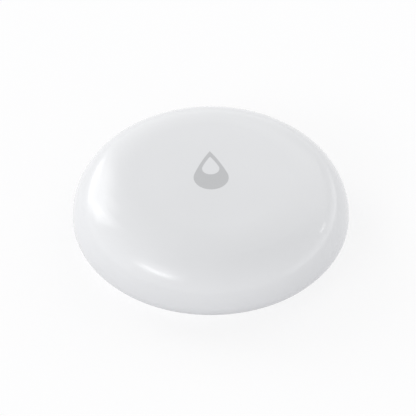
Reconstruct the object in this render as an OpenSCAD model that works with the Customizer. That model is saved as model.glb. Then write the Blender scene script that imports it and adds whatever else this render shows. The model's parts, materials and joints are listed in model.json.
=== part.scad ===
// Round water leak sensor: a sealed, pebble-shaped housing that stands on its base. Two probe pins
// reach the floor, a coin-slot door closes the battery bay from below, and a push switch sits under
// the crown. Millimetres, +Z up, with the origin on the floor under the centre.

/* [Housing] */
// Diameter at the widest point, the belt
body_d = 50; // [48:0.5:60]
// Height of the belt above the floor
belt_h = 4.8; // [4.5:0.1:5.4]
// Radius of the shoulder, from the belt up to the haunch
shoulder_r = 8.8; // [8.4:0.1:10]
// Angle that the shoulder covers
shoulder_a = 66; // [54:1:74]
// Radius of the haunch, which eases the shoulder into the crown
haunch_r = 18; // [12:0.5:24]
// Radius of the crown, the flat dome on top
crown_r = 150; // [100:1:220]
// Radius of the turn-under below the belt
tuck_r = 3; // [2.6:0.1:3.6]
// Angle of the base's sloping side from the upright
slope_a = 49; // [40:1:52]
// Wall of the cover at the crown and shoulder
wall = 1.6; // [1.2:0.1:2]
// Wall of the cover at the belt
rim_wall = 2.6; // [2.2:0.1:3]
// Distance of the parting line below the belt
seam_drop = 1.8; // [1.4:0.1:2.1]
// Width of the parting line
seam_gap = 0.15; // [0.05:0.05:0.3]

/* [Base] */
// Height of the standing pads
foot_h = 0.5; // [0.3:0.1:0.8]
// Thickness of the base's floor
floor_t = 1.6; // [1.2:0.1:2]
// Width of a standing pad
pad_w = 2.6; // [2:0.1:3.2]
// Angle that a standing pad covers
pad_a = 56; // [30:1:90]
// Wall of the spigot that fits inside the cover
spigot_t = 1.8; // [1.6:0.1:2]
// Wall of the collar round the door
collar_t = 1.6; // [1.2:0.1:2]

/* [Battery door] */
// Thickness of the door's plate
door_t = 1.5; // [1.3:0.1:1.8]
// Width of the plate's flange outside the bayonet
door_flange = 3; // [2.8:0.1:3.4]
// Wall of the door's skirt
skirt_t = 1.8; // [1.4:0.1:2.2]
// Thickness of the bayonet ledge in the base
ledge_t = 1.25; // [1.1:0.05:1.6]
// Reach of a bayonet lug outside the skirt
lug_reach = 1.1; // [0.8:0.1:1.3]
// Thickness of a bayonet lug
lug_t = 1.05; // [0.8:0.05:1.2]
// Angle that a bayonet lug covers
lug_a = 24; // [16:1:30]
// Number of bayonet lugs
lug_count = 3; // [2:1:3]
// Turn from locked to open
twist_a = 40; // [36:1:44]
// Depth of the coin slot
slot_depth = 1; // [0.6:0.1:1.1]
// Width of the coin slot
slot_w = 2; // [1.6:0.1:2.6]
// Radius of the coin that the slot is cut for
coin_r = 20; // [14:1:24]

/* [Cell and contacts] */
// Diameter of the coin cell
cell_d = 20; // [19:0.1:21]
// Height of the coin cell
cell_h = 3.2; // [2.5:0.1:3.6]
// Room for the spring between the cell and the board
contact_room = 0.9; // [0.7:0.05:1.2]
// Thickness of the spring strip
strip_t = 0.2; // [0.15:0.01:0.25]
// Width of the spring strip
strip_w = 3; // [2:0.1:3.4]
// Wall of the ring that centres the cell
holder_t = 1.5; // [1.2:0.1:1.8]

/* [Probes] */
// Diameter of a probe pin
probe_d = 3.2; // [2.6:0.1:3.6]
// Wall of the boss round a probe pin
probe_boss_t = 0.8; // [0.6:0.1:1]

/* [Seals] */
// Thickness of the housing seal
housing_seal_d = 1.1; // [1:0.05:1.2]
// Thickness of the door seal
door_seal_d = 0.8; // [0.7:0.05:0.85]
// Thickness of a probe seal
probe_seal_d = 0.6; // [0.5:0.05:0.65]

/* [Board and switch] */
// Thickness of the circuit board
board_t = 1; // [0.8:0.1:1.6]
// Side of the square push switch
switch_w = 6; // [5.4:0.1:7]
// Height of the switch's case above the board
switch_h = 2.6; // [2.2:0.1:3]
// Height of the switch's stem above its case
stem_h = 0.8; // [0.6:0.1:1.2]
// Diameter of the switch's stem
stem_d = 3.2; // [2.6:0.1:3.4]
// Travel of the switch's stem
stem_travel = 0.25; // [0.15:0.05:0.35]
// Diameter of the light guide
guide_d = 3; // [2.4:0.1:3.4]
// Distance of the light guide behind the centre
guide_y = 6; // [5.8:0.1:8]
// Diameter of a board screw's shank
screw_d = 1.7; // [1.4:0.1:2]
// Length of a board screw's shank
screw_l = 4.5; // [4:0.1:5]

/* [Hidden] */
$fn = 72;
CROWN_FN = 360;           // the crown's circle is large, so it takes more steps
SMALL_FN = 32;            // pins, screws and other small rounds
eps = 0.02;               // overlap where two shapes of one piece are joined

// Clearances
fit_gap = 0.2;            // between the spigot and the cover
door_gap = 0.2;           // round the door's plate
turn_gap = 0.3;           // round the skirt and over the lugs' ends
face_gap = 0.05;          // between flat faces that turn or rest on each other
lug_gap = 0.15;           // between a lug and its ledge
seat_gap = 0.02;          // between a spring or seal and its seat
pin_gap = 0.05;           // round pins, pegs and screws in their holes
press_gap = 0.1;          // between the cover's post and the switch's stem
board_gap = 0.4;          // round the circuit board
cell_gap = 0.25;          // round the cell in its ring
seal_play = 0.1;          // along a seal's groove
slot_play = 0.5;          // beside the strip in the ring's slot
screw_play = 0.15;        // round a screw in the board

// The housing's outline
body_r = body_d / 2;
shoulder_c = [body_r - shoulder_r, belt_h];
haunch_c = shoulder_c - (haunch_r - shoulder_r) * heading(shoulder_a);
haunch_a = acos(haunch_c.x / (crown_r - haunch_r));   // where the haunch meets the crown
crown_z = haunch_c.y - (crown_r - haunch_r) * sin(haunch_a);
body_h = crown_z + crown_r;
cavity_r = body_r - rim_wall;
seam_low = belt_h - seam_drop - seam_gap / 2;
seam_high = belt_h - seam_drop + seam_gap / 2;
seam_r = body_r - tuck_r + sqrt(tuck_r^2 - (belt_h - seam_low)^2);
base_edge_r = seam_r - (seam_low - foot_h) * tan(slope_a);

// The battery door and its seat, from the cell outwards and from the floor upwards
cell_r = cell_d / 2;
skirt_in = cell_r + turn_gap;
skirt_r = skirt_in + skirt_t;
lug_r = skirt_r + lug_reach;
door_r = skirt_r + door_flange;
ledge_r = skirt_r + turn_gap;
notch_r = lug_r + turn_gap;
recess_r = door_r + door_gap;
collar_r = recess_r + collar_t;
door_top = foot_h + door_t;
ledge_low = door_top + face_gap;
ledge_top = ledge_low + ledge_t;
lug_low = ledge_top + lug_gap;
lug_top = lug_low + lug_t;
rib_h = 0.45;             // ring inside the door that carries the cell
rib_w = 1;
rib_inset = 4;            // from the skirt to the inside of that ring
rib_r = skirt_in - rib_inset;
door_edge = 0.3;          // chamfer round the door's outer face
notch_play = 4;           // degrees that a notch is wider than its lug
stop_a = 6;               // degrees that a stop covers
stop_play = 0.6;          // degrees between a notch and the next stop
stop_inset = 0.15;        // a stop is this much narrower than the ledge inside the notches
stop_h = lug_gap + 0.7 * lug_t;
lug_turn = 30;            // place of the first lug
door_seal_room = door_seal_d + 4 * seal_play;
door_seal_depth = door_seal_d + 2 * seat_gap - face_gap;
door_seal_in = notch_r + (recess_r - notch_r - door_seal_room) / 2;

// The base
floor_top = foot_h + floor_t;
spigot_r = cavity_r - fit_gap;
spigot_in = spigot_r - spigot_t;
edge_break = 0.4;         // bevel along the base's lower edge, measured on its two faces
mouth_break = 0.2;        // bevel round the mouth of the door's recess
land = 0.3;               // spigot left beside the seal's groove
seal_room = housing_seal_d + seal_play;
seal_depth = housing_seal_d + 2 * seat_gap - fit_gap;
seal_z = seam_high + land + seal_room / 2;
bead_reach = 0.35;        // how far a snap bead stands out of the spigot
bead_h = 0.6;
bead_a = 26;              // degrees that a snap bead covers
bead_count = 4;
bead_z = seal_z + seal_room / 2 + land + bead_h / 2;
spigot_top = bead_z + bead_h / 2 + land;
pad_r = (recess_r + base_edge_r) / 2;

// The stack inside: cell, spring, board, switch
cell_z = door_top + rib_h + face_gap;
cell_top = cell_z + cell_h;
board_z = cell_top + contact_room;
board_top = board_z + board_t;
board_r = cavity_r - board_gap;
stem_top = board_top + switch_h + stem_h;

// The cell's rims, and the strips that touch it
cell_round = 0.5;         // rounding of the can's lower edge
crimp_h = 0.7;            // height of the can's crimped rim
crimp_w = 1.2;            // width of that rim
cap_step = 0.3;           // depth of the groove between rim and cap
strip_foot = 2;           // length of a strip's foot on the board
strip_lip = 0.35;         // height of the lip at a strip's free end
bow_l = 14;               // length of the bowed strip over the cell
bow_flat = 2.4;           // length of its flat middle

// The cell's ring under the board
holder_in = cell_r + cell_gap;
holder_r = holder_in + holder_t;
holder_low = lug_top + turn_gap;
holder_slot = strip_w + 2 * slot_play;
peg_d = 1;
peg_turn = 45;            // place of the ring's pegs

// Probe pins
probe_x = pad_r;
probe_r = probe_d / 2;
probe_collar_r = probe_r + probe_seal_d + seat_gap;
tip_rise = 0.5;           // rise of the pin's domed tip
probe_sink = 0.1;         // the seal's seat lies this far under the floor's top
probe_seat = floor_top - probe_sink;
probe_collar_z = probe_seat + probe_seal_d + 2 * seat_gap;
probe_collar_h = 0.7;
probe_boss_top = probe_collar_z + probe_collar_h;
probe_head_d = 2.4;
probe_head_h = 0.9;
probe_top = probe_boss_top + probe_head_h;

// Board screws and their bosses
boss_d = 4;
boss_ring = board_r - boss_d;
boss_count = 3;
boss_turn = 90;
screw_head_d = 3;
screw_head_h = 1;
head_taper = 0.8;         // the head's face is this much smaller than its seat
screw_room = 0.3;         // depth of a boss's hole past the screw's end
drive_w = 0.4;            // width of one bar of the cross recess
drive_l = 1.8;
drive_depth = 0.5;

// Push switch
switch_floor = 0.5;
frame_t = 0.25;
stem_flange_t = 0.5;
stem_flange_d = stem_d + 0.7;
switch_bore_d = stem_flange_d + 2 * turn_gap;
snap_d = switch_bore_d - turn_gap;
snap_rise = stem_travel + 0.15;
snap_t = 0.08;
stem_nub_d = 1.4;
leg_w = 0.7;
leg_t = 0.2;
leg_reach = 1.2;
leg_rise = 0.8;
leg_pitch = 4.3;          // distance between the two legs on one side
flap_l = 4;
flap_h = 1.4;
post_d = stem_d - 0.4;    // the cover's post is a little thinner than the stem

// Light guide and lamp
lamp_size = [1.6, 1.6, 0.35];
lens_size = [1.3, 1.3, 0.35];
lamp_gap = 0.3;
sleeve_t = 0.7;
sleeve_l = 2.6;
guide_top = crown_inside(guide_y + guide_d / 2) - face_gap;

// Parts on the board
radio_size = [6, 6, 0.9];
radio_at = [-10.5, 4.5];
crystal_size = [3.2, 2.5, 0.8];
crystal_at = [-11.5, -2.5];
memory_size = [5, 4, 1.4];
memory_gap = 0.6;         // between the memory chip and the boss beside it
memory_at = boss_ring * heading(boss_turn - 360 / boss_count)
            + [-(boss_d + memory_size.x) / 2 - memory_gap, (boss_d + memory_size.y) / 2];
passive_size = [1, 0.55, 0.5];
passive_pitch = 1.5;
passive_gap = 1.2;        // distance of a row from its chip
aerial_w = 0.6;           // width of the aerial's track
aerial_pitch = 1.4;
aerial_l = 3.2;
aerial_runs = 8;
aerial_t = 0.1;
aerial_edge = 3;          // distance of the track from the board's edge

// Helpers

function heading(a) = [cos(a), sin(a)];

// Height of the crown's inner face at a distance r from the axis
function crown_inside(r) = crown_z + sqrt((crown_r - wall)^2 - r^2);

function unit(v) = v / norm(v);
function left_of(v) = [-v.y, v.x];

// One side of a bent strip: its middle line moved by d, mitred at the bends
function strip_side(p, d) = [
    for (i = [0 : len(p) - 1])
        let (before = i > 0 ? unit(p[i] - p[i - 1]) : unit(p[1] - p[0]),
             after = i < len(p) - 1 ? unit(p[i + 1] - p[i]) : before,
             n = left_of(unit(before + after)))
        p[i] + n * d / (n * left_of(before))
];

function backwards(p) = [for (i = [len(p) - 1 : -1 : 0]) p[i]];

// Strip of sheet metal, bent along the points p in the XZ plane and w wide across Y
module bent_strip(p, t, w)
    rotate([90, 0, 0])
        linear_extrude(w, center = true)
            polygon(concat(strip_side(p, t / 2), backwards(strip_side(p, -t / 2))));

// Copies round the axis
module around(count, turn = 0)
    for (i = [0 : count - 1])
        rotate(turn + i * 360 / count) children();

// Moved to a centre in a coarse step and two fine ones, so that tangent arcs meet exactly
module placed(centre) {
    coarse = [round(centre.x), round(centre.y)];
    rest = centre - coarse;
    fine = [round(rest.x * 1000) / 1000, round(rest.y * 1000) / 1000];
    translate(coarse) translate(fine) translate(rest - fine) children();
}

// Part of a ring, centred on an angle, between two radii and two heights
module ring_part(r1, r2, z1, z2, a, middle)
    rotate(middle - a / 2)
        rotate_extrude(angle = a)
            translate([r1, z1]) square([r2 - r1, z2 - z1]);

module o_ring(r, d)
    rotate_extrude() translate([r, 0]) circle(d = d, $fn = SMALL_FN);

// Half outlines of the housing, to be turned about the axis

// Above the belt: crown, haunch and shoulder arcs, tangent where they meet, moved inwards by inset
module upper_outline(inset = 0) {
    crown_x = haunch_c.x + (haunch_r - inset) * cos(haunch_a);
    haunch_x = shoulder_c.x + (shoulder_r - inset) * cos(shoulder_a);
    intersection() {
        placed([0, crown_z]) circle(crown_r - inset, $fn = CROWN_FN);
        translate([0, belt_h]) square([crown_x, body_h]);
    }
    intersection() {
        placed(haunch_c) circle(haunch_r - inset);
        translate([crown_x, belt_h]) square([body_r, body_h]);
        translate([0, belt_h]) square([haunch_x, body_h]);
    }
    intersection() {
        translate(shoulder_c) circle(shoulder_r - inset);
        translate([haunch_x, belt_h]) square([body_r, body_h]);
    }
}

// The cover's rim, from the belt round the turn-under to the parting line
module rim_outline()
    intersection() {
        translate([body_r - tuck_r, belt_h]) circle(tuck_r);
        translate([cavity_r, seam_high]) square([body_r, belt_h - seam_high]);
    }

// Line in the middle of the cover's wall, closed down to the floor
function wall_middle() = concat(
    [[0, 0], [body_r - wall / 2, 0]],
    [for (i = [0 : 4]) shoulder_c + (shoulder_r - wall / 2) * heading(i * shoulder_a / 4)],
    [haunch_c + (haunch_r - wall / 2) * heading(haunch_a), [0, body_h - wall / 2]]);

// Groove in the cover's wall that the base's snap beads click into
module snap_groove()
    translate([cavity_r - eps, bead_z - bead_h / 2 - pin_gap])
        square([bead_reach - fit_gap + seal_play + eps, bead_h + 2 * pin_gap]);

// Housing

module top_cover() color("white") {
    rotate_extrude() {
        difference() {
            upper_outline();
            intersection() {
                upper_outline(wall);
                translate([0, belt_h]) square([cavity_r, body_h]);
            }
            snap_groove();
        }
        rim_outline();
    }
    // Posts hang from the crown and end inside its wall
    intersection() {
        difference() {
            union() {
                around(boss_count, boss_turn) translate([boss_ring, 0, board_top])
                    cylinder(d = boss_d, h = body_h, $fn = SMALL_FN);
                translate([0, guide_y, guide_top - sleeve_l])
                    cylinder(d = guide_d + 2 * (pin_gap + sleeve_t), h = body_h, $fn = SMALL_FN);
                translate([0, 0, stem_top + press_gap])
                    cylinder(d = post_d, h = body_h, $fn = SMALL_FN);
            }
            around(boss_count, boss_turn) translate([boss_ring, 0, board_top - eps])
                cylinder(d = screw_d + 2 * pin_gap, h = screw_l - board_t + screw_room,
                         $fn = SMALL_FN);
            translate([0, guide_y, board_top])
                cylinder(d = guide_d + 2 * pin_gap, h = guide_top + face_gap - board_top,
                         $fn = SMALL_FN);
        }
        rotate_extrude() polygon(wall_middle());
    }
}

module base() color("white") {
    difference() {
        union() {
            rotate_extrude() base_outline();
            around(2, 90) standing_pad();
            around(2) probe_boss();
            around(bead_count, 45) snap_bead();
            around(lug_count, lug_turn) bayonet_stops();
        }
        around(lug_count, lug_turn - twist_a)
            ring_part(ledge_r - 1, notch_r, ledge_low - 1, ledge_top + 1, lug_a + notch_play, 0);
        around(2) translate([probe_x, 0, 0]) {
            cylinder(r = probe_r + pin_gap, h = probe_boss_top + 1, $fn = SMALL_FN);
            translate([0, 0, probe_seat])
                cylinder(r = probe_collar_r + pin_gap, h = probe_boss_top, $fn = SMALL_FN);
        }
    }
}

module base_outline() difference() {
    union() {
        polygon([[0, foot_h], [base_edge_r - edge_break, foot_h],
                 [base_edge_r + edge_break * sin(slope_a), foot_h + edge_break * cos(slope_a)],
                 [seam_r, seam_low], [0, seam_low]]);
        translate([spigot_in, floor_top - eps]) square([spigot_t, spigot_top - floor_top + eps]);
        translate([0, foot_h]) square([collar_r, ledge_top - foot_h]);
    }
    translate([collar_r, floor_top]) square([spigot_in - collar_r, body_h]);
    translate([-eps, 0]) square([recess_r + eps, ledge_low]);
    translate([-eps, 0]) square([ledge_r + eps, body_h]);
    translate([recess_r, foot_h])
        polygon([[-eps, -eps], [mouth_break + eps, -eps], [-eps, mouth_break + eps]]);
    translate([door_seal_in, ledge_low - eps]) square([door_seal_room, door_seal_depth + eps]);
    translate([spigot_r - seal_depth, seal_z - seal_room / 2]) square([seal_depth + eps, seal_room]);
}

// Low pad with round ends that the sensor stands on
module standing_pad() {
    ring_part(pad_r - pad_w / 2, pad_r + pad_w / 2, 0, foot_h + eps, pad_a, 0);
    for (side = [-1, 1])
        rotate(side * pad_a / 2) translate([pad_r, 0, 0])
            cylinder(d = pad_w, h = foot_h + eps, $fn = SMALL_FN);
}

// Boss round a probe pin, kept to the room between the door's recess and the spigot
module probe_boss()
    intersection() {
        translate([probe_x, 0, floor_top - eps])
            cylinder(r = probe_collar_r + pin_gap + probe_boss_t,
                     h = probe_boss_top - floor_top + eps, $fn = SMALL_FN);
        rotate_extrude()
            translate([recess_r, 0]) square([spigot_in + eps - recess_r, probe_top]);
    }

// Bead with sloping faces on the spigot
module snap_bead()
    rotate(-bead_a / 2) rotate_extrude(angle = bead_a)
        polygon([[spigot_r - eps, bead_z - bead_h / 2], [spigot_r + bead_reach, bead_z],
                 [spigot_r - eps, bead_z + bead_h / 2]]);

// Blocks on the ledge that stop a lug when the door is locked, and when it is open
module bayonet_stops() {
    reach = (lug_a + notch_play + stop_a) / 2 + stop_play;
    for (middle = [reach, -twist_a - reach])
        ring_part(ledge_r + stop_inset, notch_r - stop_inset, ledge_top - eps,
                  ledge_top + stop_h, stop_a, middle);
}

module housing_seal() color("dimgray")
    translate([0, 0, seal_z])
        o_ring(spigot_r - seal_depth + seat_gap + housing_seal_d / 2, housing_seal_d);

// Battery door

module battery_door() color("white") {
    difference() {
        union() {
            rotate_extrude() {
                polygon([[0, foot_h], [door_r - door_edge, foot_h], [door_r, foot_h + door_edge],
                         [door_r, door_top], [0, door_top]]);
                translate([skirt_in, door_top - eps]) square([skirt_t, lug_top - door_top + eps]);
                translate([rib_r, door_top - eps]) square([rib_w, rib_h + eps]);
            }
            around(lug_count, lug_turn)
                ring_part(skirt_r - eps, lug_r, lug_low, lug_top, lug_a, 0);
        }
        coin_slot();
    }
}

// Slot with the round bottom that a coin needs
module coin_slot()
    translate([0, 0, foot_h + slot_depth - coin_r]) rotate([90, 0, 0])
        cylinder(r = coin_r, h = slot_w, center = true, $fn = CROWN_FN);

module door_seal() color("dimgray")
    translate([0, 0, ledge_low + door_seal_depth - seat_gap - door_seal_d / 2])
        o_ring(door_seal_in + door_seal_room / 2, door_seal_d);

// Cell and contacts

// Can with a crimped rim, and the smaller cap on top
module coin_cell() color("silver")
    rotate_extrude()
        difference() {
            union() {
                translate([0, cell_z]) square([cell_r - cell_round, cell_h]);
                translate([0, cell_z + cell_round])
                    square([cell_r, cell_h - cell_round - crimp_h]);
                translate([cell_r - cell_round, cell_z + cell_round]) circle(cell_round);
                translate([cell_r - crimp_h, cell_top - crimp_h]) circle(crimp_h);
            }
            // Groove between the rim and the cap, and the rim's top below the cap
            translate([cell_r - crimp_w, cell_top - cap_step]) square([crimp_w, cap_step + eps]);
        }

// Ring that centres the cell, with pegs in the board and a slot for the side contact
module battery_holder() color("gainsboro") {
    difference() {
        translate([0, 0, holder_low]) cylinder(r = holder_r, h = board_z - holder_low);
        translate([0, 0, holder_low - 1]) cylinder(r = holder_in, h = board_z);
        translate([-holder_slot / 2, 0, holder_low - 1]) cube([holder_slot, body_r, board_z]);
    }
    around(2, peg_turn) translate([(holder_in + holder_r) / 2, 0, board_z - eps])
        cylinder(d = peg_d, h = board_t + eps, $fn = SMALL_FN);
}

// Spring strip under the board that presses on the can's side
module positive_contact() color("goldenrod") {
    foot_z = board_z - strip_t / 2;
    touch = cell_r + strip_t / 2 + seat_gap;
    rotate(90)
        bent_strip([[holder_r + slot_play + strip_foot, foot_z], [holder_r + slot_play, foot_z],
                    [touch, holder_low + strip_t + strip_lip],
                    [touch + strip_lip, holder_low + strip_t]], strip_t, strip_w);
}

// Bowed spring strip between the board and the cell's cap
module negative_contact() color("goldenrod") {
    foot_z = board_z - strip_t / 2;
    touch_z = cell_top + strip_t / 2 + seat_gap;
    ends = bow_l / 2;
    flat = bow_flat / 2;
    bent_strip([[-ends, foot_z], [strip_foot - ends, foot_z], [-flat, touch_z], [flat, touch_z],
                [ends - strip_foot, foot_z], [ends, foot_z]], strip_t, strip_w);
}

// Probes

// Pin with a domed tip on the floor, a collar over its seal and a head under the spring
module probe()
    rotate_extrude() {
        tip_r = (probe_r^2 + tip_rise^2) / (2 * tip_rise);
        intersection() {
            translate([0, tip_r]) circle(tip_r);
            square([probe_r, tip_rise]);
        }
        translate([0, tip_rise]) square([probe_r, probe_collar_z - tip_rise]);
        translate([0, probe_collar_z - eps]) square([probe_collar_r, probe_collar_h + eps]);
        translate([0, probe_boss_top - eps]) square([probe_head_d / 2, probe_head_h + eps]);
    }

module probe_left() color("lightgray") translate([-probe_x, 0, 0]) probe();

module probe_right() color("lightgray") translate([probe_x, 0, 0]) probe();

module probe_seals() color("dimgray")
    around(2) translate([probe_x, 0, probe_seat + seat_gap + probe_seal_d / 2])
        o_ring(probe_r + seat_gap + probe_seal_d / 2, probe_seal_d);

// Spring strip from the board down to a probe's head
module probe_contact(side) color("goldenrod") {
    foot_z = board_z - strip_t / 2;
    touch_z = probe_top + strip_t / 2 + seat_gap;
    foot_end = probe_x - probe_head_d;
    mirror([side < 0 ? 1 : 0, 0, 0])
        bent_strip([[foot_end - strip_foot, foot_z], [foot_end, foot_z], [probe_x, touch_z],
                    [probe_x + probe_head_d / 2, touch_z + strip_lip]], strip_t, probe_head_d);
}

module probe_contact_left() probe_contact(-1);

module probe_contact_right() probe_contact(1);

// Board and the parts on it

module main_board() color("seagreen")
    difference() {
        translate([0, 0, board_z]) cylinder(r = board_r, h = board_t);
        around(boss_count, boss_turn) translate([boss_ring, 0, board_z - 1])
            cylinder(d = screw_d + 2 * screw_play, h = board_t + 2, $fn = SMALL_FN);
        around(2, peg_turn) translate([(holder_in + holder_r) / 2, 0, board_z - 1])
            cylinder(d = peg_d + 2 * pin_gap, h = board_t + 2, $fn = SMALL_FN);
    }

// Block of a chip, centred on a place on the board's top
module chip(at, size)
    translate([at.x - size.x / 2, at.y - size.y / 2, board_top]) cube(size);

module radio_chip() color("black") chip(radio_at, radio_size);

module crystal() color("silver") chip(crystal_at, crystal_size);

module memory_chip() color("black") chip(memory_at, memory_size);

// Rows of small capacitors and resistors beside the chips
module chip_passives() color("tan") {
    for (i = [-2 : 2])
        chip(radio_at + [i * passive_pitch, radio_size.y / 2 + passive_gap], passive_size);
    for (i = [-1.5 : 1.5])
        chip(radio_at + [radio_size.x / 2 + passive_gap, i * passive_pitch], passive_size);
    for (i = [-1.5 : 1.5])
        chip(memory_at + [i * passive_pitch, memory_size.y / 2 + passive_gap], passive_size);
}

// Zigzag copper track at the board's front edge
module aerial() color("peru")
    translate([-(aerial_runs - 1) * aerial_pitch / 2, aerial_edge - board_r, board_top])
        linear_extrude(aerial_t) {
            for (i = [0 : aerial_runs - 1])
                translate([i * aerial_pitch - aerial_w / 2, 0]) square([aerial_w, aerial_l]);
            for (i = [0 : aerial_runs - 2])
                translate([i * aerial_pitch - aerial_w / 2, i % 2 == 0 ? aerial_l - aerial_w : 0])
                    square([aerial_pitch + aerial_w, aerial_w]);
        }

module status_lamp() color("ivory") {
    chip([0, guide_y], lamp_size);
    translate([0, 0, lamp_size.z - eps]) chip([0, guide_y], lens_size + [0, 0, eps]);
}

// Clear rod from the lamp up to the crown
module light_guide() color("lightcyan") {
    low = board_top + lamp_size.z + lens_size.z + lamp_gap;
    translate([0, guide_y, low]) cylinder(d = guide_d, h = guide_top - low, $fn = SMALL_FN);
}

// Push switch

module switch_case() color("black")
    difference() {
        translate([-switch_w / 2, -switch_w / 2, board_top])
            cube([switch_w, switch_w, switch_h - frame_t]);
        translate([0, 0, board_top + switch_floor])
            cylinder(d = switch_bore_d, h = switch_h, $fn = SMALL_FN);
    }

// Metal lid with two side flaps and the stem's hole
module switch_frame() color("silver") {
    low = board_top + switch_h - frame_t;
    difference() {
        translate([-switch_w / 2, -switch_w / 2 - frame_t, low])
            cube([switch_w, switch_w + 2 * frame_t, frame_t]);
        translate([0, 0, low - 1]) cylinder(d = stem_d + 4 * pin_gap, h = 2, $fn = SMALL_FN);
    }
    for (y = [-switch_w / 2 - frame_t, switch_w / 2])
        translate([-flap_l / 2, y, low - flap_h]) cube([flap_l, frame_t, flap_h + eps]);
}

// Thin sprung dome on the case's floor
module switch_snap_dome() color("gold") {
    half = snap_d / 2;
    dome_r = (half^2 + snap_rise^2) / (2 * snap_rise);
    translate([0, 0, board_top + switch_floor + snap_rise + snap_t - dome_r])
        rotate_extrude() intersection() {
            difference() {
                circle(dome_r, $fn = CROWN_FN);
                circle(dome_r - snap_t, $fn = CROWN_FN);
            }
            translate([0, dome_r - snap_rise - snap_t]) square([half, snap_rise + snap_t]);
        }
}

// Stem with a flange under the lid and a nub on the dome
module switch_stem() color("dimgray") {
    lid = board_top + switch_h - frame_t;
    flange_z = lid - face_gap - stem_flange_t;
    nub_z = board_top + switch_floor + snap_rise + snap_t + seat_gap;
    translate([0, 0, nub_z]) cylinder(d = stem_nub_d, h = flange_z - nub_z + eps, $fn = SMALL_FN);
    translate([0, 0, flange_z]) cylinder(d = stem_flange_d, h = stem_flange_t, $fn = SMALL_FN);
    translate([0, 0, flange_z + eps])
        cylinder(d = stem_d, h = stem_top - flange_z - eps, $fn = SMALL_FN);
}

// Four legs bent out flat on the board
module switch_terminals() color("silver") {
    middle = board_top + leg_t / 2;
    upright = switch_w / 2 + leg_t / 2;
    for (side = [0, 180], y = [-1, 1] * leg_pitch / 2)
        rotate(side) translate([0, y, 0])
            bent_strip([[upright + leg_reach, middle], [upright, middle],
                        [upright, middle + leg_rise]], leg_t, leg_w);
}

// Screws that hold the board to the cover, from below, with a cross recess
module board_screws() color("silver")
    around(boss_count, boss_turn) translate([boss_ring, 0, board_z]) difference() {
        union() {
            cylinder(d = screw_d, h = screw_l, $fn = SMALL_FN);
            translate([0, 0, -screw_head_h])
                cylinder(d1 = screw_head_d - head_taper, d2 = screw_head_d, h = screw_head_h,
                         $fn = SMALL_FN);
        }
        for (turn = [0, 90])
            rotate(turn) translate([-drive_l / 2, -drive_w / 2, -screw_head_h - eps])
                cube([drive_l, drive_w, drive_depth + eps]);
    }

top_cover();
base();
housing_seal();
battery_door();
door_seal();
coin_cell();
battery_holder();
positive_contact();
negative_contact();
main_board();
radio_chip();
crystal();
memory_chip();
chip_passives();
aerial();
status_lamp();
light_guide();
switch_case();
switch_frame();
switch_snap_dome();
switch_stem();
switch_terminals();
probe_left();
probe_right();
probe_seals();
probe_contact_left();
probe_contact_right();
board_screws();
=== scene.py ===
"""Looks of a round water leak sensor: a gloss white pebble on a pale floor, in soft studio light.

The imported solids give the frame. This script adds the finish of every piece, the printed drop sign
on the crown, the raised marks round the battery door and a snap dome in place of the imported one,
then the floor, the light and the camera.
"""
import json
import math

import bpy
import numpy as np
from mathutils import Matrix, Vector


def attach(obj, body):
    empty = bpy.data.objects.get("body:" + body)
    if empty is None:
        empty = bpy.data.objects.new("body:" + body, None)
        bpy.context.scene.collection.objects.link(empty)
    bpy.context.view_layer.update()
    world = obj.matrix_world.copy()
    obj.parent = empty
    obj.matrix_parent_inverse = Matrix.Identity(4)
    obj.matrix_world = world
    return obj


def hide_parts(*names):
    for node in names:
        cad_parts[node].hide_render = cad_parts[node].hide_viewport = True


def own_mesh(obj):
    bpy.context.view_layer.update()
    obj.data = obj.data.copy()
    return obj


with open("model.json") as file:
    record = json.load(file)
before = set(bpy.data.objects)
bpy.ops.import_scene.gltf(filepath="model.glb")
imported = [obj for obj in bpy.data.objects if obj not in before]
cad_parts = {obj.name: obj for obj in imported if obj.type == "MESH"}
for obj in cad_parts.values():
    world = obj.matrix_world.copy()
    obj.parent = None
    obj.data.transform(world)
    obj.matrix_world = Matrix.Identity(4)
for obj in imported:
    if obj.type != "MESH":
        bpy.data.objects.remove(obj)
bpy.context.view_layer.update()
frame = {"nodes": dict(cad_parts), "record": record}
nodes = frame["nodes"]

MM = 0.001

# The housing's sizes in millimetres, as in the part's source
BODY_MID_Z = 7.5
CROWN_R = 150.0
CROWN_CENTRE_Z = -135.0154
BASE_FACE_Z = 0.5
PROBE_X = 18.426
DOOR_TWIST = 40.0                 # degrees that the battery door turns between locked and open
SNAP_FLOOR_Z = 8.1                # the switch's floor, on which its snap dome stands
SNAP_R = 2.1
SNAP_RISE = 0.4
SNAP_SHEET = 0.08                 # thickness of the snap dome's sheet


# Shader nodes

def linear(code):
    """sRGB hex colour to linear RGBA, by the standard's two-part curve."""
    channels = np.array([int(code[i:i + 2], 16) for i in (0, 2, 4)]) / 255
    low = channels / 12.92
    high = ((channels + 0.055) / 1.055) ** 2.4
    return (*np.where(channels <= 0.04045, low, high).tolist(), 1.0)


def add(tree, kind, sockets=None, **settings):
    """Adds a node: settings are its properties, sockets its inputs, as values or other nodes' outputs."""
    made = tree.nodes.new(kind)
    for name, value in settings.items():
        setattr(made, name, value)
    for name, value in (sockets or {}).items():
        if isinstance(value, bpy.types.NodeSocket):
            tree.links.new(value, made.inputs[name])
        else:
            made.inputs[name].default_value = value
    return made


def calc(tree, operation, *values):
    """Result of one operation on up to three values, which may be other nodes' outputs."""
    return add(tree, "ShaderNodeMath", dict(enumerate(values)), operation=operation).outputs[0]


def dot(tree, vector, fixed):
    """Dot product of a vector with a fixed one."""
    product = add(tree, "ShaderNodeVectorMath", {0: vector, 1: fixed}, operation="DOT_PRODUCT")
    return product.outputs["Value"]


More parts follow.
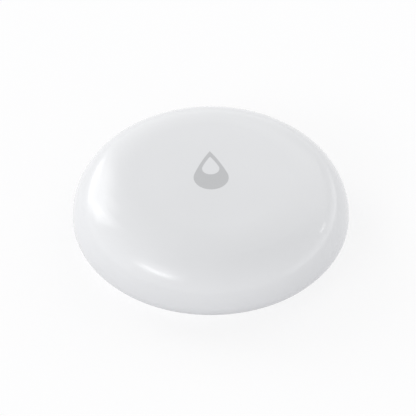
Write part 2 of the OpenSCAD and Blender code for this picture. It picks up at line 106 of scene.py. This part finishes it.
def ramp(tree, value, low=0.0, high=1.0, at_low=0.0, at_high=1.0, **settings):
    """Goes from at_low to at_high as the value goes from low to high, and stays level beyond them."""
    sockets = {0: value, 1: low, 2: high, 3: at_low, 4: at_high}
    return add(tree, "ShaderNodeMapRange", sockets, **settings).outputs[0]


def blend(tree, share, first, second):
    """Goes from the first colour to the second with the share. Each is a hex code or a node's output."""
    ends = [linear(end) if isinstance(end, str) else end for end in (first, second)]
    return add(tree, "ShaderNodeMix", {0: share, 6: ends[0], 7: ends[1]}, data_type="RGBA").outputs[2]


def either(tree, share, first, second):
    """Goes from the first shader to the second with the share."""
    return add(tree, "ShaderNodeMixShader", {0: share, 1: first.outputs[0], 2: second.outputs[0]})


def per_mm(size):
    """Noise or cell scale at which one feature measures that many millimetres."""
    return 1000 / size


class Finish:
    """Material with one Principled shader, its constants on the shader's own sockets.

    Patterns lie in Object coordinates. Their sizes and the depth of relief are in millimetres."""

    def __init__(self, name, **constants):
        self.material = bpy.data.materials.new(name)
        self.material.use_nodes = True
        self.tree = self.material.node_tree
        self.tree.nodes.clear()
        sockets = {key.replace("_", " "): value for key, value in constants.items()}
        shader = add(self.tree, "ShaderNodeBsdfPrincipled", sockets)
        add(self.tree, "ShaderNodeOutputMaterial", {"Surface": shader.outputs[0]})
        self.inputs = shader.inputs
        self.place = add(self.tree, "ShaderNodeTexCoord").outputs["Object"]

    def mapped(self, **settings):
        """Object coordinates, moved or stretched."""
        return add(self.tree, "ShaderNodeMapping", {"Vector": self.place, **settings}).outputs[0]

    def noise(self, size, detail, place=None):
        """Cloudy pattern with features of that size."""
        sockets = {"Vector": place or self.place, "Scale": per_mm(size), "Detail": detail}
        return add(self.tree, "ShaderNodeTexNoise", sockets).outputs[0]

    def waves(self, pitch, place=None, distortion=0.0, **settings):
        """Bands or rings at that pitch. A wave's phase in radians is 20 times scale and distance."""
        sockets = {"Vector": place or self.place, "Scale": 2 * math.pi / 20 * per_mm(pitch),
                   "Distortion": distortion, "Detail": 2.0}
        return add(self.tree, "ShaderNodeTexWave", sockets, **settings).outputs[1]

    def colour(self, pattern, dark, pale):
        """Base colour that goes from dark to pale with the pattern."""
        self.tree.links.new(blend(self.tree, pattern, dark, pale), self.inputs["Base Color"])

    def roughness(self, pattern, smooth, rough):
        """Roughness that goes from the first value to the second with the pattern."""
        gloss = ramp(self.tree, pattern, at_low=smooth, at_high=rough)
        self.tree.links.new(gloss, self.inputs["Roughness"])

    def relief(self, height, strength, depth):
        """Fine relief of that depth."""
        sockets = {"Height": height, "Strength": strength, "Distance": depth * MM}
        bump = add(self.tree, "ShaderNodeBump", sockets)
        self.tree.links.new(bump.outputs[0], self.inputs["Normal"])


# Finishes

def gloss_white_abs():
    """Injection-moulded ABS from a polished tool: white, glossy, with a faint orange peel.

    The eye gets a bright, even white with soft-edged reflections. The pigment clouds by about one
    step of grey over a centimetre, and the skin's gloss wanders a little over some millimetres."""
    finish = Finish("gloss_white_abs", IOR=1.53)
    finish.colour(finish.noise(11, detail=2), "E2E3E5", "E5E6E8")
    finish.roughness(finish.noise(3, detail=3), 0.09, 0.13)
    finish.relief(finish.noise(1.4, detail=1), strength=0.4, depth=0.002)
    return finish.material


def spark_matt_abs():
    """Injection-moulded ABS from a spark-eroded tool: white and matt, with a fine pitted grain.

    The eye gets a soft white without mirror images, and a grain of about 0.08 mm that is drawn at
    0.22 mm so that it shows. The faces that stand on the floor are rubbed smoother and greyer."""
    finish = Finish("spark_matt_abs", IOR=1.53)
    tree = finish.tree
    height = add(tree, "ShaderNodeSeparateXYZ", {0: finish.place}).outputs["Z"]
    worn = ramp(tree, height, 0.02 * MM, 0.16 * MM, 1.0, 0.0)
    rubbed = calc(tree, "MULTIPLY", worn, finish.noise(1.2, detail=4))
    clouded = blend(tree, finish.noise(9, detail=2), "DFE0E2", "E4E5E7")
    finish.colour(rubbed, clouded, "C3C3C2")
    finish.roughness(rubbed, 0.52, 0.24)
    finish.relief(finish.noise(0.22, detail=2), strength=0.5, depth=0.025)
    return finish.material


def pad_print_ink():
    """Pad-printed two-part ink: light grey, satin, a few thousandths of a millimetre thick.

    The eye gets an even grey with a softer gloss than the shell, and the fine mottle that the
    silicone pad leaves, about 0.3 mm wide."""
    finish = Finish("pad_print_ink", IOR=1.5)
    mottle = finish.noise(0.3, detail=3)
    finish.colour(mottle, "BEBFC1", "C4C5C7")
    finish.roughness(mottle, 0.28, 0.4)
    return finish.material


def moulded_silicone():
    """Compression-moulded silicone rubber: dark grey, matt and soft to look at.

    The eye gets a dull surface with a faint velvet sheen and a dusty bloom in patches of 1.5 mm."""
    finish = Finish("moulded_silicone", IOR=1.43, Sheen_Weight=0.25, Sheen_Roughness=0.5)
    bloom = finish.noise(1.5, detail=4)
    finish.colour(bloom, "36373A", "4A4B4D")
    finish.roughness(bloom, 0.55, 0.75)
    finish.relief(finish.noise(0.35, detail=1), strength=0.3, depth=0.015)
    return finish.material


def turned_metal(name, dark, pale, smooth, rough, pitch, centre_x=0.0):
    """Metal cut on a lathe about an upright axis, or pressed with a die that was.

    The eye gets fine rings round the axis, which spread highlights into a bow tie, on a grey that
    shifts a little from ring to ring. The rings are drawn at the given pitch in millimetres."""
    finish = Finish(name, Metallic=1.0)
    centred = finish.mapped(Location=(-centre_x * MM, 0, 0))
    rings = finish.waves(pitch, centred, distortion=0.6, wave_type="RINGS", rings_direction="Z")
    finish.colour(rings, dark, pale)
    finish.roughness(rings, smooth, rough)
    finish.relief(rings, strength=0.35, depth=0.006)
    return finish.material


def moulded_nylon():
    """Injection-moulded natural nylon: off-white, satin and slightly see-through.

    The eye gets a waxy white that light soaks into, with flow clouds about 5 mm long."""
    finish = Finish("moulded_nylon", IOR=1.53, Subsurface_Weight=0.2, Subsurface_Scale=0.0008)
    flow = finish.noise(5, detail=3)
    finish.colour(flow, "DAD8CF", "E6E4DC")
    finish.roughness(flow, 0.34, 0.48)
    finish.relief(finish.noise(0.6, detail=1), strength=0.25, depth=0.01)
    return finish.material


def rolled_metal(name, dark, pale, smooth, rough, **coat):
    """Sheet metal as it leaves the rolls: long fine lines one way, about 0.15 mm apart.

    The eye gets a soft gloss stretched along the lines, and a tint that wanders from line to line."""
    finish = Finish(name, Metallic=1.0, **coat)
    lines = finish.noise(0.15, detail=3, place=finish.mapped(Scale=(0.06, 1.0, 1.0)))
    finish.colour(lines, dark, pale)
    finish.roughness(lines, smooth, rough)
    finish.relief(lines, strength=0.3, depth=0.004)
    return finish.material


def solder_masked_laminate():
    """Glass-epoxy board, screened with green solder mask and sawn to shape.

    The eye gets a glossy green in which etched tracks 0.5 mm wide stand paler and a little proud,
    at 2.4 mm pitch both ways and broken up by clouds. The sawn edges show the straw-coloured glass."""
    finish = Finish("solder_masked_laminate", IOR=1.5)
    tree = finish.tree
    breaks = finish.noise(7, detail=0)
    runs = []
    for axis, low, high in (("X", 0.52, 0.56), ("Y", 0.48, 0.44)):
        track = ramp(tree, finish.waves(2.4, bands_direction=axis), 0.86, 0.92)
        runs.append(calc(tree, "MULTIPLY", track, ramp(tree, breaks, low, high)))
    copper = calc(tree, "MAXIMUM", *runs)
    mask = blend(tree, copper, "1B5632", "2F7D4A")
    facing = add(tree, "ShaderNodeNewGeometry").outputs["Normal"]
    upright = add(tree, "ShaderNodeSeparateXYZ", {0: facing}).outputs["Z"]
    screened = ramp(tree, calc(tree, "ABSOLUTE", upright), 0.4, 0.6)
    straw = blend(tree, finish.noise(0.2, detail=2), "A89C6A", "C9BE8E")
    finish.colour(screened, straw, mask)
    finish.roughness(screened, 0.7, 0.3)
    finish.relief(copper, strength=0.6, depth=0.03)
    return finish.material


def moulded_epoxy():
    """Transfer-moulded epoxy with silica filler: near black, matt, with a fine gritty skin.

    The eye gets a dull dark grey whose grit, about 0.1 mm wide, catches light in small points."""
    finish = Finish("moulded_epoxy", IOR=1.55)
    grit = finish.noise(0.1, detail=2)
    finish.colour(grit, "232427", "34353A")
    finish.roughness(grit, 0.48, 0.7)
    finish.relief(grit, strength=0.4, depth=0.01)
    return finish.material


def tin_plate():
    """Pressed steel under bright tin plate: silvery, with the faint spangle of frozen tin.

    The eye gets clear but broken reflections, in crystals of about 0.7 mm that differ in gloss."""
    finish = Finish("tin_plate", Metallic=1.0)
    spangle = add(finish.tree, "ShaderNodeTexVoronoi", {"Vector": finish.place, "Scale": per_mm(0.7)})
    crystals = add(finish.tree, "ShaderNodeSeparateColor", {0: spangle.outputs["Color"]}).outputs[0]
    finish.colour(crystals, "C2C3C4", "D3D4D5")
    finish.roughness(crystals, 0.18, 0.34)
    return finish.material


def fired_ceramic():
    """Sintered ceramic of small chip parts: tan, dense and dull, with darker flecks of 0.12 mm."""
    finish = Finish("fired_ceramic", IOR=1.6)
    flecks = finish.noise(0.12, detail=3)
    finish.colour(flecks, "9C7F58", "C4A67C")
    finish.roughness(flecks, 0.38, 0.55)
    return finish.material


def cast_resin():
    """Cast epoxy of a diffused lamp: milky, smooth and partly clear, clouded over 0.5 mm."""
    finish = Finish("cast_resin", IOR=1.54, Transmission_Weight=0.4)
    milk = finish.noise(0.5, detail=2)
    finish.colour(milk, "E9E3CE", "F5F1E6")
    finish.roughness(milk, 0.1, 0.22)
    return finish.material


def clear_acrylic():
    """Moulded clear acrylic: colourless with a cold edge, polished, faintly streaked over 1.5 mm."""
    finish = Finish("clear_acrylic", IOR=1.49, Transmission_Weight=1.0)
    streaks = finish.noise(1.5, detail=1)
    finish.colour(streaks, "F0F8FA", "FAFDFE")
    finish.roughness(streaks, 0.03, 0.08)
    return finish.material


LOOKS = {
    "white_shell": gloss_white_abs(),
    "white_base": spark_matt_abs(),
    "seal_rubber": moulded_silicone(),
    # Nickel-plated steel can, its rings left by the drawing die
    "cell_steel": turned_metal("drawn_nickelled_steel", "C4C4C0", "D2D2CE", 0.2, 0.32, 0.5),
    "holder_plastic": moulded_nylon(),
    "spring_bronze": rolled_metal("rolled_spring_bronze", "C2AA7C", "D8C59E", 0.22, 0.4),
    "board_laminate": solder_masked_laminate(),
    "chip_black": moulded_epoxy(),
    "plated_steel": tin_plate(),
    "chip_ceramic": fired_ceramic(),
    # Copper foil under a clear film of solder mask
    "copper_track": rolled_metal("etched_copper", "AE6E40", "CC8E60", 0.3, 0.45,
                                 Coat_Weight=0.5, Coat_Roughness=0.2),
    "lamp_resin": cast_resin(),
    "clear_acrylic": clear_acrylic(),
}
# Each stainless probe has rings round its own axis
PROBE_LOOKS = {
    name: turned_metal(f"turned_stainless_{side}", "AEB0B2", "C3C5C7", 0.24, 0.4, 0.32, x)
    for name, side, x in (("probe_left", "left", -PROBE_X), ("probe_right", "right", PROBE_X))
}
for row in frame["record"]["subparts"]:
    target = nodes[row["node"]]
    target.data.materials.clear()
    target.data.materials.append(PROBE_LOOKS.get(row["node"]) or LOOKS[row["material_slot"]])


# Surfaces of the added pieces

def skin(name, rows, look, body, joined):
    """Solid over rows of points in millimetres, each row closed round.

    Neighbouring rows are joined by quads. The last row is joined to the first one, or the first and
    last row are each closed by a fan to their mean point. The sign of the enclosed volume, the sum of
    triple products over the faces, turns the faces outwards."""
    count, around = rows.shape[:2]
    points = rows.reshape(-1, 3) * MM
    index = np.arange(count * around).reshape(count, around)
    upper = index if joined else index[:-1]
    lower = np.roll(index, -1, axis=0) if joined else index[1:]
    faces = np.stack([upper, np.roll(upper, -1, axis=1), np.roll(lower, -1, axis=1), lower], axis=-1)
    faces = faces.reshape(-1, 4)
    fans = np.empty((0, 3), dtype=int)
    if not joined:
        poles = np.stack([rows[0].mean(axis=0), rows[-1].mean(axis=0)]) * MM
        first, last = len(points), len(points) + 1
        points = np.concatenate([points, poles])
        first_fan = np.stack([np.full(around, first), np.roll(index[0], -1), index[0]], axis=-1)
        last_fan = np.stack([np.full(around, last), index[-1], np.roll(index[-1], -1)], axis=-1)
        fans = np.concatenate([first_fan, last_fan])
    halves = np.concatenate([faces[:, [0, 1, 2]], faces[:, [0, 2, 3]], fans])
    a, b, c = (points[halves[:, k]] for k in range(3))
    if np.einsum("ij,ij->i", a, np.cross(b, c)).sum() < 0:
        faces, fans = faces[:, ::-1], fans[:, ::-1]
    mesh = bpy.data.meshes.new(name)
    mesh.from_pydata(points.tolist(), [], faces.tolist() + fans.tolist())
    mesh.materials.append(look)
    piece = bpy.data.objects.new(name, mesh)
    bpy.context.scene.collection.objects.link(piece)
    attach(piece, body)
    return piece


# The drop sign: heights along Y of its tip and of its round end's middle, then that end's radius
# and the radius of the long side arcs
DROP_OUTER = (5.43, -1.69, 3.12, 34.0)
DROP_INNER = (3.92, 0.63, 1.555, 16.8)
INK_TOP = 0.0015                  # height of the ink's face over the crown
INK_DEPTH = 0.03                  # depth of its root under the crown


def drop_outline(tip, middle, radius, side, along=48, below=96):
    """Outline of a drop, from its tip down the right side, round the end and up the left side.

    The end is a circle. Each side is an arc of a larger circle that runs from the tip and touches the
    end. With the end's middle as origin and the tip at height h, the side arc's centre lies at height
    e = (h h - 2 side radius + radius radius) / 2 h, and across the axis at the distance
    d = root((side - radius)^2 - e e)."""
    h = tip - middle
    e = (h * h - 2 * side * radius + radius * radius) / (2 * h)
    d = math.sqrt((side - radius) ** 2 - e * e)
    at_tip = math.atan2(h - e, d)
    touch = math.atan2(-e, d)
    sweep = np.linspace(at_tip, touch, along, endpoint=False)
    right = np.stack([side * np.cos(sweep) - d, side * np.sin(sweep) + e], axis=-1)
    turn = np.linspace(touch, -math.pi - touch, below, endpoint=False)
    end = radius * np.stack([np.cos(turn), np.sin(turn)], axis=-1)
    back = np.linspace(touch, at_tip, along, endpoint=False)
    left = np.stack([d - side * np.cos(back), side * np.sin(back) + e], axis=-1)
    return np.concatenate([right, end, left]) + (0.0, middle)


def drop_film(steps=7):
    """Film of ink between two drop outlines, lying on the crown's sphere.

    One parameter runs round the outlines, the other across the film's top from the outer to the inner
    one and back underneath. Height is the sphere's, root(R R - x x - y y), plus or minus the film."""
    outer, inner = drop_outline(*DROP_OUTER), drop_outline(*DROP_INNER)
    across = np.concatenate([np.linspace(0, 1, steps), np.linspace(1, 0, steps)])[:, None, None]
    lift = np.concatenate([np.full(steps, INK_TOP), np.full(steps, -INK_DEPTH)])[:, None]
    flat = outer + across * (inner - outer)
    height = CROWN_CENTRE_Z + np.sqrt(CROWN_R ** 2 - (flat ** 2).sum(axis=-1)) + lift
    return np.concatenate([flat, height[..., None]], axis=-1)


def rounded_outline(corners, radius, around=72):
    """Outline of the shape that a disc of that radius sweeps over a convex polygon.

    In each direction the farthest corner is taken, and the disc's rim in that direction added to it."""
    turn = np.linspace(0, 2 * math.pi, around, endpoint=False)
    way = np.stack([np.cos(turn), np.sin(turn)], axis=-1)
    farthest = (way @ np.asarray(corners).T).argmax(axis=1)
    return np.asarray(corners)[farthest] + radius * way


MARK_FACE = 0.25                  # height of the raised marks over the base's face
MARK_EDGE = 0.06                  # rounding of their edges
MARK_ROOT = 0.1                   # depth at which they sit in the base


def raised_rows(corners, radius, steps=6):
    """Rows of a raised mark: the outline stepped out round a quarter-circle edge, then straight down."""
    bend = np.linspace(0, math.pi / 2, steps)
    inset = np.concatenate([MARK_EDGE * (1 - np.sin(bend)), [0.0]])
    top = BASE_FACE_Z - MARK_FACE + MARK_EDGE
    height = np.concatenate([top - MARK_EDGE * np.cos(bend), [BASE_FACE_Z + MARK_ROOT]])
    outlines = np.stack([rounded_outline(corners, radius - step) for step in inset])
    level = np.broadcast_to(height[:, None, None], (*outlines.shape[:2], 1))
    return np.concatenate([outlines, level], axis=-1)


def ring_rows(centre, radius, width, around=72, steps=13):
    """Rows of a raised ring: a half-round section of that width, with a straight root, round a circle."""
    bend = np.linspace(0, math.pi, steps)
    out = np.concatenate([np.cos(bend), [-1.0, 1.0]]) * width / 2
    rise = np.concatenate([-MARK_FACE * np.sin(bend), [MARK_ROOT, MARK_ROOT]])
    turn = np.linspace(0, 2 * math.pi, around, endpoint=False)
    reach = radius + out[:, None]
    level = np.broadcast_to(BASE_FACE_Z + rise[:, None], (len(out), around))
    return np.stack([centre[0] + reach * np.cos(turn), centre[1] + reach * np.sin(turn), level], axis=-1)


def snap_rows(around=64, steps=20, innermost=0.04):
    """Rows of the snap dome: a sheet pressed to part of a sphere, from its middle out and back.

    For rim radius R and rise h the sphere's radius is S = (R R + h h) / 2 h. At radius r the height on
    top is root(S S - r r). Underneath, with a sheet t thick, it is root((S - t)(S - t) - r r), and not
    below the floor. The innermost row's radius is a share of R."""
    sphere = (SNAP_R ** 2 + SNAP_RISE ** 2) / (2 * SNAP_RISE)
    centre = SNAP_FLOOR_Z + SNAP_RISE + SNAP_SHEET - sphere
    reach = SNAP_R * np.linspace(innermost, 1.0, steps)
    under = np.maximum(centre + np.sqrt((sphere - SNAP_SHEET) ** 2 - reach ** 2), SNAP_FLOOR_Z)
    over = centre + np.sqrt(sphere ** 2 - reach ** 2)
    radius = np.concatenate([reach, reach[::-1]])[:, None]
    level = np.concatenate([under, over[::-1]])[:, None]
    turn = np.linspace(0, 2 * math.pi, around, endpoint=False)
    return np.stack([radius * np.cos(turn), radius * np.sin(turn),
                     np.broadcast_to(level, (2 * steps, around))], axis=-1)


def polar(radius, degrees):
    """Point at that radius and angle round the sensor's axis, seen from above."""
    turn = math.radians(degrees)
    return radius * math.cos(turn), radius * math.sin(turn)


ink = pad_print_ink()
skin("drop_sign", drop_film(), ink, "housing", joined=True)

# The snap dome is drawn at rest in place of the imported one, with a mesh of its own; the real dome gives
# way under the stem when the switch is pressed
snap_dome = skin("snap_dome", snap_rows(), LOOKS["plated_steel"], "housing", joined=False)
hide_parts("switch_snap_dome")
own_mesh(snap_dome)

# A pointer on the door, and on the base a dot where the door is locked and a ring where it is open,
# all raised and tipped with the sign's ink
LOCKED_AT = -12.0                 # degrees round the sensor's axis
MARK_PITCH_R = 16.5               # distance of the dot's and the ring's middle from that axis
DOT_R = 0.7
RING_R, RING_WIDTH = 0.6, 0.36
POINTER_TIP_R, POINTER_BACK_R = 14.3, 12.3
POINTER_SPREAD = 5.0              # degrees from its middle line to each corner at the back
POINTER_ROUNDING = 0.2
pointer = [polar(POINTER_TIP_R, LOCKED_AT), polar(POINTER_BACK_R, LOCKED_AT - POINTER_SPREAD),
           polar(POINTER_BACK_R, LOCKED_AT + POINTER_SPREAD)]
dot_at = polar(MARK_PITCH_R, LOCKED_AT)
ring_at = polar(MARK_PITCH_R, LOCKED_AT - DOOR_TWIST)
marks = {
    "door_pointer": ("battery_door", raised_rows(pointer, POINTER_ROUNDING), False),
    "locked_dot": ("housing", raised_rows([dot_at], DOT_R), False),
    "open_ring": ("housing", ring_rows(ring_at, RING_R, RING_WIDTH), True),
}
for name, (body, rows, joined) in marks.items():
    skin(name, rows, ink, body, joined)


# Floor, light and camera

def direction(azimuth, elevation):
    """Unit vector to a place round the object: azimuth 0 is on the side of -Y, and 90 on that of +X."""
    a, e = math.radians(azimuth), math.radians(elevation)
    return Vector((math.sin(a) * math.cos(e), -math.cos(a) * math.cos(e), math.sin(e)))


FLOOR_REACH = 3.0                 # metres from the object to the floor's sides
FLOOR_GAP = 2e-5                  # keeps the floor's face off the pads' faces
FLOOR_SHADING = 0.24              # share of the floor's look that takes shadows; the rest glows


def floor_look():
    """White studio floor: the camera and mirrors see it white, with the object's shadow.

    Other light bounces off a matt pale grey. From below and for shadow rays the floor is clear, so
    that the underside can be seen and lit."""
    material = bpy.data.materials.new("white_floor")
    material.use_nodes = True
    material.cycles.emission_sampling = "NONE"
    tree = material.node_tree
    tree.nodes.clear()
    path = add(tree, "ShaderNodeLightPath").outputs
    side = add(tree, "ShaderNodeNewGeometry").outputs
    matt = add(tree, "ShaderNodeBsdfDiffuse", {"Color": linear("C7C7CA")})
    pale = add(tree, "ShaderNodeBsdfDiffuse", {"Color": linear("FDFDFF")})
    glow = add(tree, "ShaderNodeEmission", {"Color": linear("FFFFFF"), "Strength": 1.0})
    clear = add(tree, "ShaderNodeBsdfTransparent")
    shown = either(tree, FLOOR_SHADING, glow, pale)
    mirrored = calc(tree, "MAXIMUM", path["Is Glossy Ray"], path["Is Transmission Ray"])
    seen = calc(tree, "MAXIMUM", path["Is Camera Ray"], mirrored)
    front = either(tree, seen, matt, shown)
    through = calc(tree, "MAXIMUM", path["Is Shadow Ray"], side["Backfacing"])
    surface = either(tree, through, front, clear)
    add(tree, "ShaderNodeOutputMaterial", {"Surface": surface.outputs[0]})
    return material


floor_mesh = bpy.data.meshes.new("floor")
corners = FLOOR_REACH * np.array([[-1, -1, 0], [1, -1, 0], [1, 1, 0], [-1, 1, 0]]) - (0, 0, FLOOR_GAP)
floor_mesh.from_pydata(corners.tolist(), [], [(0, 1, 2, 3)])
floor_mesh.materials.append(floor_look())
floor = bpy.data.objects.new("floor", floor_mesh)
bpy.context.scene.collection.objects.link(floor)

# The sensor in the picture is turned a little, so the camera stands to the left of its middle
CAMERA_TURN = -2.0
# Soft panels in the tent: azimuth from the camera, half width and soft margin, then lower and upper
# edge with their soft margins, in degrees, and the radiance that each adds
PANELS = {
    "left_box": (-137, 9, 14, 10, 28, 6, 18, 2.0),
    "left_high": (-118, 3, 9, 20, 32, 6, 20, 2.3),
    "left_mid": (-135, 3, 8, 35, 43, 8, 6, 1.0),
    "front_strip": (-45, 2, 30, 30, 31, 20, 20, 1.7),
    "front_core": (-45, 7, 15, 25.5, 29, 4, 3.5, 2.9),
    "right_box": (143, 5, 50, 27, 36, 17, 50, 0.76),
    "right_low": (100, 30, 22, 0, 3, 1, 16, 0.74),
    "right_glint": (106, 3, 2, 16.8, 17.8, 2, 2, 3.4),
}
TENT_LEVEL = 1.38
TENT_SLOPE = (-0.105, -0.115, -1.03)  # change of level towards +X, +Y and the zenith
TENT_FOOT = -1.0                      # elevation in degrees at which the tent has faded out


def between(tree, value, low, high, soft_low, soft_high):
    """1 from low to high, easing to 0 over the soft margins outside them: two smooth steps multiplied."""
    rise = ramp(tree, value, low - soft_low, low, interpolation_type="SMOOTHSTEP")
    fall = ramp(tree, value, high, high + soft_high, 1.0, 0.0, interpolation_type="SMOOTHSTEP")
    return calc(tree, "MULTIPLY", rise, fall)


def studio_world():
    """White light tent on the floor, with soft panels in it; the camera sees plain white."""
    world = bpy.data.worlds.new("studio")
    world.use_nodes = True
    tree = world.node_tree
    tree.nodes.clear()
    way = add(tree, "ShaderNodeTexCoord").outputs["Generated"]
    rise = add(tree, "ShaderNodeSeparateXYZ", {0: way}).outputs["Z"]
    elevation = calc(tree, "DEGREES", calc(tree, "ARCSINE", rise))
    level = calc(tree, "ADD", dot(tree, way, TENT_SLOPE), TENT_LEVEL)
    for azimuth, half, soft, low, high, soft_low, soft_high, radiance in PANELS.values():
        ahead = dot(tree, way, direction(azimuth + CAMERA_TURN, 0))
        aside = dot(tree, way, direction(azimuth + CAMERA_TURN + 90, 0))
        offset = calc(tree, "DEGREES", calc(tree, "ARCTAN2", aside, ahead))
        wide = between(tree, offset, -half, half, soft, soft)
        tall = between(tree, elevation, low, high, soft_low, soft_high)
        level = calc(tree, "MULTIPLY_ADD", calc(tree, "MULTIPLY", wide, tall), radiance, level)
    cut = calc(tree, "MULTIPLY", level, ramp(tree, elevation, TENT_FOOT, 0.0))
    tent = add(tree, "ShaderNodeBackground", {"Color": linear("FFFFFF"), "Strength": cut})
    white = add(tree, "ShaderNodeBackground", {"Color": linear("FDFDFE"), "Strength": 1.0})
    path = add(tree, "ShaderNodeLightPath").outputs
    sky = either(tree, path["Is Camera Ray"], tent, white)
    add(tree, "ShaderNodeOutputWorld", {"Surface": sky.outputs[0]})
    return world


bpy.context.scene.world = studio_world()

# A spot lamp under the floor shows the underside in views from below. Its beam fades out over the
# base's turned-up edge, which keeps its shade in views from above.
LAMP_WAY = direction(-55, -66)
LAMP_DISTANCE = 0.35
BEAM_R = 24.0                     # radius of the beam at the base, in millimetres
lamp_data = bpy.data.lights.new("underside_lamp", "SPOT")
lamp_data.spot_size = 2 * math.atan(BEAM_R * MM / LAMP_DISTANCE)
lamp_data.spot_blend = 0.25
lamp_data.shadow_soft_size = 0.002
lamp_data.energy = 2.6
lamp = bpy.data.objects.new("underside_lamp", lamp_data)
lamp.location = LAMP_WAY * LAMP_DISTANCE
lamp.rotation_euler = LAMP_WAY.to_track_quat("Z", "Y").to_euler()
lamp.visible_camera = False
bpy.context.scene.collection.objects.link(lamp)
lit_pieces = bpy.data.collections.new("underside_pieces")
for name in ("base", "battery_door", "probe_left", "probe_right"):
    lit_pieces.objects.link(nodes[name])
for name in marks:
    lit_pieces.objects.link(bpy.data.objects[name])
lamp.light_linking.receiver_collection = lit_pieces

CAMERA_ELEVATION = 42.5
CAMERA_DISTANCE = 0.5
AIM_ASIDE, AIM_UP = -0.5, -1.1    # millimetres in the picture plane, from the housing's middle to the aim
camera_data = bpy.data.cameras.new("camera")
camera_data.lens = 240.0
camera_data.sensor_width = 36.0
camera = bpy.data.objects.new("camera", camera_data)
bpy.context.scene.collection.objects.link(camera)
back = direction(CAMERA_TURN, CAMERA_ELEVATION)
turn = back.to_track_quat("Z", "Y")
aim = Vector((0, 0, BODY_MID_Z * MM)) + turn @ Vector((AIM_ASIDE * MM, AIM_UP * MM, 0))
camera.location = aim + back * CAMERA_DISTANCE
camera.rotation_euler = turn.to_euler()
bpy.context.scene.camera = camera
bpy.context.scene.view_settings.view_transform = "Standard"
